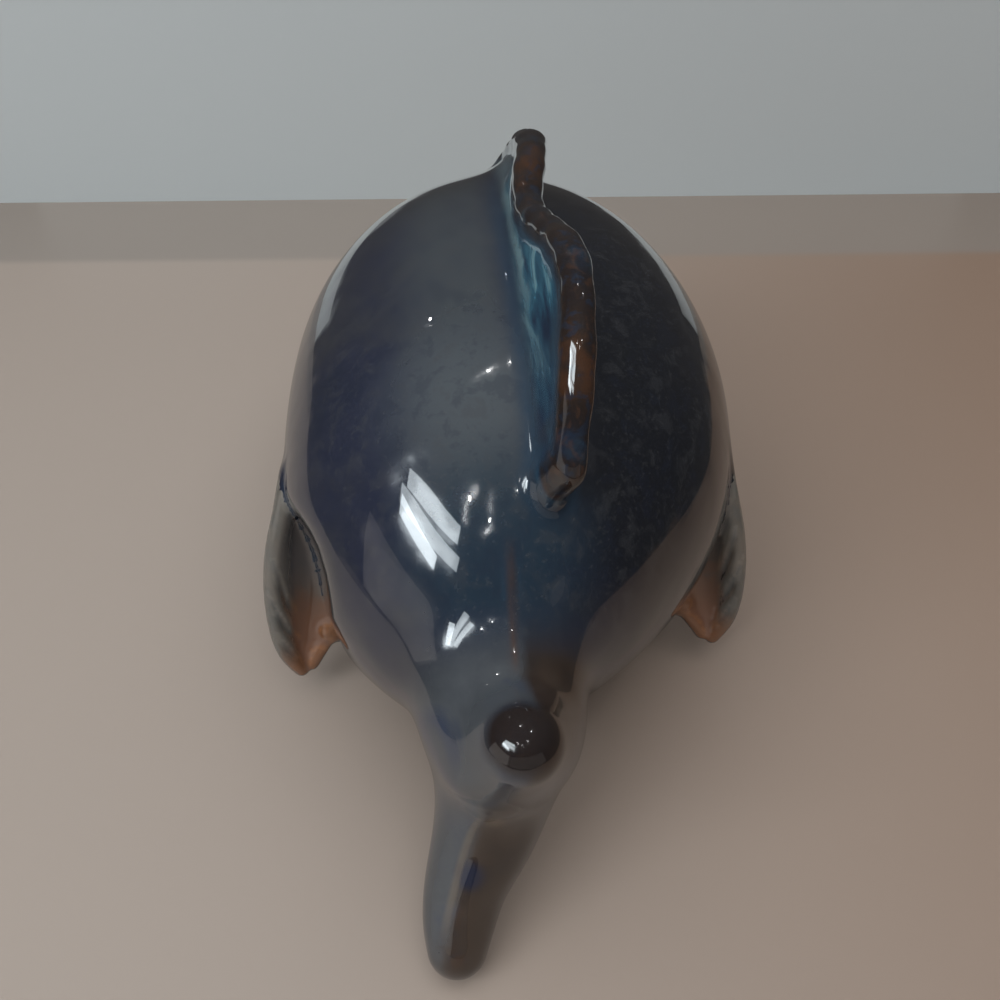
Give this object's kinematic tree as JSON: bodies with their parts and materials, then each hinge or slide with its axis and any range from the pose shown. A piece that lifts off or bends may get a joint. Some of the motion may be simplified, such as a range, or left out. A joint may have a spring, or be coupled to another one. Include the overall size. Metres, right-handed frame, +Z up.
{
  "type": "fish figurine",
  "caption": "Round-bodied glazed ceramic fish with a leaning dorsal fin, cupped side fins and a thick two-lobed tail, resting on a flat belly foot; shelf or table ornament.",
  "frame": {"origin": "middle of the figurine's bounding box, on the surface it stands on", "axes": "+Z up; the fish's head towards -Y, its tail towards +Y, its left side towards +X"},
  "size_m": [0.1296, 0.2372, 0.1348],
  "materials": {
    "slate_blue_glaze": "glossy slate blue reactive glaze with fine speckle, bare fired clay on the foot",
    "teal_and_amber_glaze": "glossy teal and royal blue glaze with pale streaks, breaking to amber brown on the rim",
    "grey_blue_glaze": "glossy grey blue glaze, breaking to amber brown on ridges",
    "grey_green_to_amber_glaze": "glossy grey green glaze, running to amber towards the tip",
    "dark_glaze": "glossy near black glaze",
    "amber_glaze": "glossy amber brown glaze"
  },
  "bodies": {
    "root": {"body_shell": "slate_blue_glaze", "dorsal_fin": "teal_and_amber_glaze", "tail_fin": "grey_blue_glaze", "left_pectoral_fin": "grey_green_to_amber_glaze", "right_pectoral_fin": "grey_green_to_amber_glaze", "left_eye": "dark_glaze", "right_eye": "dark_glaze", "left_eye_ring": "amber_glaze", "right_eye_ring": "amber_glaze", "upper_lip": "amber_glaze", "lower_lip": "amber_glaze"}
  },
  "joints": []
}
